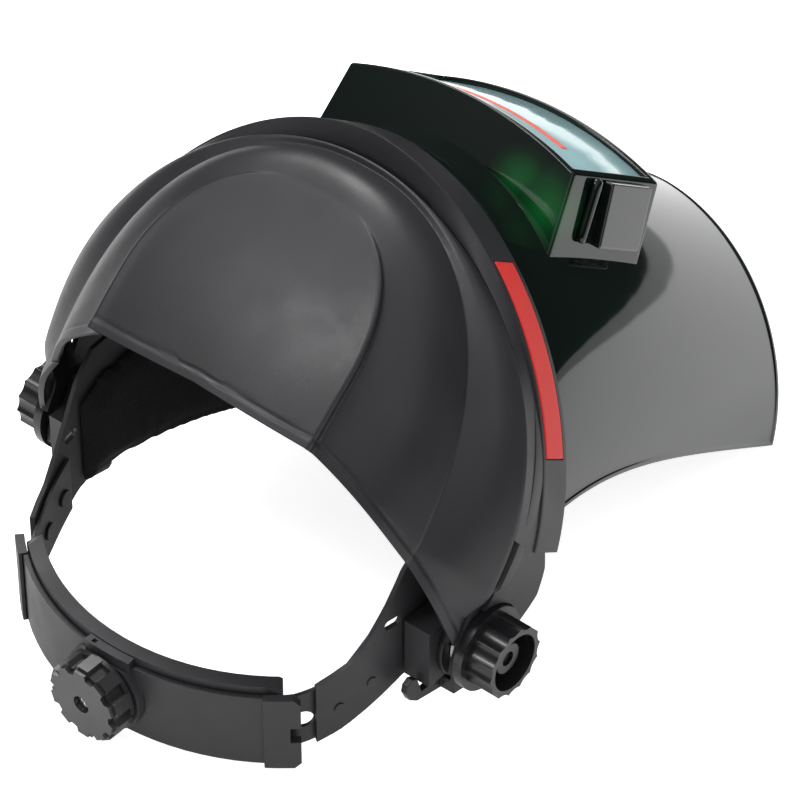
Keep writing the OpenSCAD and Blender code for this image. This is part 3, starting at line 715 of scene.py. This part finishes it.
def lens_box():
    outline = rounded_rect(BOX_W / 2, BOX_LOW, BOX_TOP, 1.6)
    spread = 43.7 / BOX_DEPTH
    x = outline[:, 0] * (1 + BOX_FLARE * spread / (BOX_W / 2))
    off = outline[:, 1] - BOX_MID
    z = outline[:, 1] + np.where(off > 0, 3, 1) * spread * off / (BOX_H / 2)
    rear = np.stack([x, visor_f(x, z, 1.0), z], -1)
    rear_in = rear.copy()
    rear_in[:, 0] -= np.sign(x) * 2.2 * (np.abs(x) > 50)
    rear_in[:, 2] += np.where(z > BOX_MID, -2.2, 2.2) * (np.abs(z - BOX_MID) > 30)
    front = box_ring(0, 0.5, 1.6)
    lip_out, lip_in = box_ring(0.6, 0.0, 1.4), box_ring(3.4, 0.0, 1.4)
    inside = box_ring(2.4, 2.1, 1.2)
    rows = [rear, mix(rear, front, 0.5), front, lip_out, mix(lip_out, lip_in, 0.5), lip_in,
            box_ring(4.0, 0.4, 1.2), box_ring(4.0, 1.9, 1.2), inside, mix(inside, rear_in, 0.5), rear_in]
    g = flipped(np.array(rows))
    faces = grid_faces(*g.shape[:2], wrap_rows=True, wrap_cols=True)
    obj = make("lens_box", g, faces, "mask", M["box"], "tinted_visor")
    recalc(obj)
    soften(obj, 0.35, 2, 30)


def end_half(f):
    """Half width of the box at a forward distance."""
    return BOX_W / 2 + BOX_FLARE * (BOX_REACH + 4 - f) / BOX_DEPTH


def end_rib(side):
    """Round rib moulded along the end of the box."""
    name = "left" if side > 0 else "right"
    fs = np.concatenate([[151.2, 151.6, 152.4], np.linspace(154, 175, 12), [176.6, 177.4, 177.8]])
    size = np.concatenate([[0.05, 0.6, 0.9], np.ones(12), [0.9, 0.6, 0.05]])
    ring = [math.radians(a) for a in range(0, 360, 18)]
    rows = [[(side * (end_half(f) + 0.2 + 2.2 * k * math.sin(a)), f, -39.6 + 2.7 * k * math.cos(a))
             for a in ring] for f, k in zip(fs, size)]
    g = flipped(np.array(rows))
    faces = grid_faces(*g.shape[:2], wrap_cols=True)
    recalc(make("box_rib_" + name, g, faces, "mask", M["box"], "tinted_visor"))


def end_latch(side):
    """Wedge-shaped grip on the end of the box, seated against its wall."""
    name = "left" if side > 0 else "right"
    wedge = [(177.0, 61.9), (175.8, 62.6), (152.2, 67.0), (151.0, 66.6)]
    rows = []
    for z, inset in ((-79.4, 0.9), (-79.0, 0.25), (-78.2, 0.0), (-48.6, 0.0), (-47.8, 0.25), (-47.4, 0.9)):
        outer = [(side * (x - inset), mix(f, 164.0, inset / 30), z) for f, x in wedge]
        rows.append([(side * (end_half(177.0) - 1.0), 177.0 - inset, z), *outer,
                     (side * (end_half(151.0) - 1.0), 151.0 + inset, z)])
    g = flipped(np.array(rows))
    r, c = g.shape[:2]
    ends = [tuple(range(c)), tuple((r - 1) * c + k for k in reversed(range(c)))]
    faces = grid_faces(r, c, wrap_cols=True) + ends
    obj = make("box_latch_" + name, g, faces, "mask", M["latch"], "tinted_visor")
    recalc(obj)
    soften(obj, 0.35, 3, 20)
    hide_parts("lens_clip_" + name)


def lens_stripe():
    """Plain printed bar along the top of the cover lens."""
    xs = np.linspace(-37, 37, 50)
    rows = [np.stack([xs, box_front(xs, 2.24), np.full_like(xs, z)], -1) for z in (-42.6, -47.2)]
    obj = make("lens_stripe", flipped(np.array(rows)), grid_faces(2, 50), "mask", M["print"], "red_plastic")
    recalc(obj)
    modify(obj, "SOLIDIFY", "ink", thickness=0.08 * MM, offset=0.0)


visor_sheet()
lens_box()
for side in (-1, 1):
    end_rib(side)
    end_latch(side)
lens_stripe()


# ---------------------------------------------------------------- CAD nodes kept

KEPT = {
    ("ear_plate_left", "ear_plate_right"): ("crown", 0.5),
    ("headband",): ("band", 0.5),
    ("temple_block_left", "temple_block_right"): ("band", 0.8),
    ("stop_lever_left", "stop_lever_right", "pivot_stud_left", "pivot_stud_right", "strap_buttons",
     "ratchet_pinion", "visor_pins"): ("dark", 0.3),
    ("cradle_cover", "cradle_pad", "cradle_clip_left", "cradle_clip_right"): ("cradle", 0.4),
    ("side_knob_left", "side_knob_right"): ("knob", 0.35),
    ("ratchet_knob",): ("ratchet", 0.5),
    ("friction_washer_left", "friction_washer_right"): ("washer", 0.2),
    ("detent_ring",): ("spring", 0.1),
    ("ratchet_screw",): ("screw", 0.2),
    ("cover_lens",): ("lens", 0.0),
    ("filter_glass",): ("glass", 0.2),
    ("inner_cover_lens",): ("inner", 0.2),
    ("solar_panel",): ("solar", 0.1),
    ("circuit_board",): ("board", 0.1),
    ("arc_sensors",): ("dark", 0.2),
    ("filter_carrier", "filter_case"): ("case", 0.4),
}
for names, (material, width) in KEPT.items():
    for name in names:
        dress(name, M[material], width)


def slit_strap(side):
    """Rear strap, running from the band to the cradle: a copy of the CAD node with its own material and
    softened edges.
    """
    name = "rear_strap_" + side
    obj = bpy.data.objects.new("strap_" + side, nodes[name].data.copy())
    bpy.context.scene.collection.objects.link(obj)
    obj.data.materials.clear()
    obj.data.materials.append(M["strap"])
    bm = bmesh.new()
    bm.from_mesh(obj.data)
    bmesh.ops.remove_doubles(bm, verts=bm.verts, dist=WELD)
    bmesh.ops.dissolve_limit(bm, angle_limit=math.radians(1.5), verts=bm.verts, edges=bm.edges)
    bm.to_mesh(obj.data)
    bm.free()
    shade_smooth(obj.data)
    soften(obj, 0.3, 2, 35)
    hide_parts(name)
    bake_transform(obj)


slit_strap("left")
slit_strap("right")


# ---------------------------------------------------------------- sweatband
#
# Here y is the frame's own: the headband's plan is two half ellipses round (0, BAND_MID_Y).

BAND_HALF, BAND_MID_Y, BAND_REACH, BAND_BACK = 88.0, 5.0, 108.0, 110.0
PAD_END_Y = 21.0
TOP_HEM = ((-110, -60, -30, -8, 9, 22.0), (32, 35, 39, 39, 35, 27.0))       # y, and the height there
LOW_HEM = ((-110, -30, 6, 22.0), (-14, -13, -13, -12.0))
PUMP_FRAMES, PUMP_LIMIT = 20, 0.0016                     # the limit is in metres
SEAM_IN, CHANNEL = 4.5, 0.26                             # seam to hem in mm, channel spacing in radians


def pad_rows():
    """Lines along the strip, up its outer face and down its inner one."""
    end = math.acos((BAND_MID_Y - PAD_END_Y) / BAND_BACK)
    ts = np.linspace(-end, end, 121)
    n = 13
    rows = []
    for inset, trim, upward in ((2.9, 0.0, True), (6.0, 0.4, False)):
        c = np.cos(ts)
        x = (BAND_HALF - inset) * np.sin(ts)
        y = BAND_MID_Y - (np.where(c >= 0, BAND_REACH, BAND_BACK) - inset) * c
        low, high = np.interp(y, *LOW_HEM) + trim, np.interp(y, *TOP_HEM) - trim
        first, last = (low, high) if upward else (high, low)
        rows += [np.stack([x, y, mix(first, last, k / (n - 1))], -1) for k in range(n)]
    return np.array(rows)


def pumped_up(obj):
    """Fills the strip like a cushion: a short cloth simulation under pressure, its travel held to a limit."""
    bpy.context.view_layer.objects.active = obj
    obj.select_set(True)
    modify(obj, "REMESH", "voxels", mode="VOXEL", voxel_size=0.0017)
    obj.data = baked(obj)
    obj.modifiers.clear()
    start = np.array([v.co for v in obj.data.vertices])
    cloth = modify(obj, "CLOTH", "pump")
    cloth.settings.use_pressure = True
    cloth.settings.uniform_pressure_force = 4.0
    cloth.settings.effector_weights.gravity = 0.0
    cloth.settings.quality = 5
    cloth.point_cache.frame_start, cloth.point_cache.frame_end = 1, PUMP_FRAMES
    for frame_no in range(1, PUMP_FRAMES + 1):
        bpy.context.scene.frame_set(frame_no)
    step = np.array([v.co for v in baked(obj).vertices]) - start
    obj.modifiers.clear()
    bpy.context.scene.frame_set(1)
    length = np.linalg.norm(step, axis=1, keepdims=True) + 1e-9
    obj.data.vertices.foreach_set("co", (start + step * np.minimum(1.0, PUMP_LIMIT / length)).ravel())


def off_centre(x, y):
    """Distance from the middle of the headband, 1 on its outer face."""
    return np.hypot(x / BAND_HALF, (BAND_MID_Y - y) / np.where(y > BAND_MID_Y, BAND_BACK, BAND_REACH))


def sewn(points):
    """Straight hems, a seam along each of them and channels across, kept inside the headband."""
    x, y, z = points.T / MM
    turn = np.arctan2(x / BAND_HALF, (BAND_MID_Y - y) / BAND_REACH)
    inner = smooth((0.958 - off_centre(x, y)) / 0.012)
    low, high = np.interp(y, *LOW_HEM), np.interp(y, *TOP_HEM)
    seam = np.maximum(np.exp(-((z - low - SEAM_IN) / 1.1) ** 2), np.exp(-((high - z - SEAM_IN) / 1.1) ** 2))
    channel = np.exp(-((((turn / CHANNEL) % 1.0) - 0.5) / 0.045) ** 2) * (z > low + 6) * (z < high - 6)
    push = inner * (0.9 * seam + 0.7 * channel)
    for hem in (low, high):
        z = mix(z, hem, smooth((2.0 - np.abs(z - hem)) / 0.8))
    x = x * (1 + push / BAND_HALF)
    y = BAND_MID_Y + (y - BAND_MID_Y) * (1 + push / BAND_REACH)
    hold = np.minimum(1.0, 0.974 / np.maximum(off_centre(x, y), 1e-6))
    return np.stack([x * hold, BAND_MID_Y + (y - BAND_MID_Y) * hold, z], -1) * MM


def sweatband():
    g = pad_rows()
    faces = grid_faces(*g.shape[:2], wrap_rows=True) + end_caps(*g.shape[:2])
    obj = make("sweatband", g, faces, None, M["cloth"])
    recalc(obj)
    pumped_up(obj)
    obj.data.vertices.foreach_set("co", sewn(np.array([v.co for v in obj.data.vertices])).ravel())
    obj.data.update()
    modify(obj, "SMOOTH", "even", factor=0.5, iterations=4)
    modify(obj, "SUBSURF", "smooth", levels=1, render_levels=1)
    shade_smooth(obj.data)
    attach(obj, "headgear")
    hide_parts("forehead_pad")


sweatband()


# ---------------------------------------------------------------- stage, light, camera

FLOOR_Z, FLOOR_HALF, FLOOR_NEAR, FLOOR_FAR = -0.046, 3, -0.95, 4
DIM_STRIP = (-0.80, -0.78)                               # in front of this the floor goes dark in reflections


def pale():
    """Pale floor, a little lit for the camera alone; the visor reflects the dim strip along its front."""
    n = Nodes("pale_floor")
    co = n.coords()
    base = n.ramp(n.noise(co, 4.0, 2.0), [(0.3, grey(0.93)), (0.7, grey(0.95))])
    along = n.add("ShaderNodeSeparateXYZ", Vector=co).outputs["Y"]
    edge = n.add("ShaderNodeMapRange", Value=along)
    for socket, value in zip(list(edge.inputs)[1:5], (*DIM_STRIP, 0.42, 1.0)):
        n.feed(socket, value)
    seen = n.add("ShaderNodeLightPath").outputs["Is Camera Ray"]
    n.set(Base_Color=n.blend(1.0, base, edge.outputs[0], "MULTIPLY"), Roughness=0.9, Specular_IOR_Level=0.1,
          Emission_Color=(1.0, 1.0, 1.0, 1.0), Emission_Strength=n.math("MULTIPLY", seen, 0.7))
    return n.mat


def floor():
    mesh = bpy.data.meshes.new("floor")
    corners = [(-FLOOR_HALF, FLOOR_NEAR, FLOOR_Z), (FLOOR_HALF, FLOOR_NEAR, FLOOR_Z),
               (FLOOR_HALF, FLOOR_FAR, FLOOR_Z), (-FLOOR_HALF, FLOOR_FAR, FLOOR_Z)]
    mesh.from_pydata(corners, [], [(0, 1, 2, 3)])
    ground = bpy.data.objects.new("floor", mesh)
    bpy.context.scene.collection.objects.link(ground)
    ground.data.materials.append(pale())


def studio():
    """White light all round; glossy surfaces see a sky that is dark low down and light overhead."""
    world = bpy.data.worlds.new("studio")
    bpy.context.scene.world = world
    world.use_nodes = True
    tree = world.node_tree
    back = tree.nodes["Background"]
    ray = tree.nodes.new("ShaderNodeLightPath")
    where = tree.nodes.new("ShaderNodeTexCoord")
    split = tree.nodes.new("ShaderNodeSeparateXYZ")
    sky = tree.nodes.new("ShaderNodeValToRGB")
    pick = tree.nodes.new("ShaderNodeMix")
    pick.data_type = "RGBA"
    pick.inputs[6].default_value = (1, 1, 1, 1)
    low, high = sky.color_ramp.elements
    low.position, low.color = 0.25, (0.03, 0.03, 0.032, 1)
    high.position, high.color = 0.95, (0.72, 0.72, 0.74, 1)
    tree.links.new(where.outputs["Generated"], split.inputs[0])
    tree.links.new(split.outputs["Z"], sky.inputs["Fac"])
    tree.links.new(ray.outputs["Is Glossy Ray"], pick.inputs["Factor"])
    tree.links.new(sky.outputs["Color"], pick.inputs[7])
    tree.links.new(pick.outputs[2], back.inputs["Color"])
    back.inputs["Strength"].default_value = 1.0


def area(name, place, target, size, power):
    """A square soft light that faces a point."""
    light = bpy.data.lights.new(name, "AREA")
    light.shape = "RECTANGLE"
    light.size = size
    light.size_y = size
    light.energy = power
    obj = bpy.data.objects.new(name, light)
    bpy.context.scene.collection.objects.link(obj)
    obj.location = place
    obj.rotation_euler = (Vector(target) - Vector(place)).to_track_quat("-Z", "Y").to_euler()


def view():
    """A long-lens view from behind and above on one side; the three directions are the camera's own axes."""
    right, up, back = (-0.7660, -0.6428, 0.0), (0.4174, -0.4974, 0.7604), (-0.4888, 0.5825, 0.6494)
    place = (-0.8504, 0.9324, 1.1413)
    cam = bpy.data.cameras.new("camera")
    cam.lens = 190.5
    cam.sensor_width = 36.0
    cam.clip_start = 0.05
    camera = bpy.data.objects.new("camera", cam)
    bpy.context.scene.collection.objects.link(camera)
    camera.matrix_world = Matrix((*zip(right, up, back, place), (0, 0, 0, 1)))
    bpy.context.scene.camera = camera


floor()
studio()
area("key", (0.62, -0.62, 1.25), (0, -0.03, 0.08), 0.7, 13)
area("fill", (-1.2, 0.9, 1.5), (0, 0, 0), 1.2, 3)
area("sheen", (0.46, 0.62, 1.3), (0, 0.05, 0.1), 0.36, 7)
view()
bpy.context.scene.view_settings.view_transform = "Standard"
bpy.context.scene.view_settings.look = "None"
bpy.context.scene.view_settings.exposure = 0.0
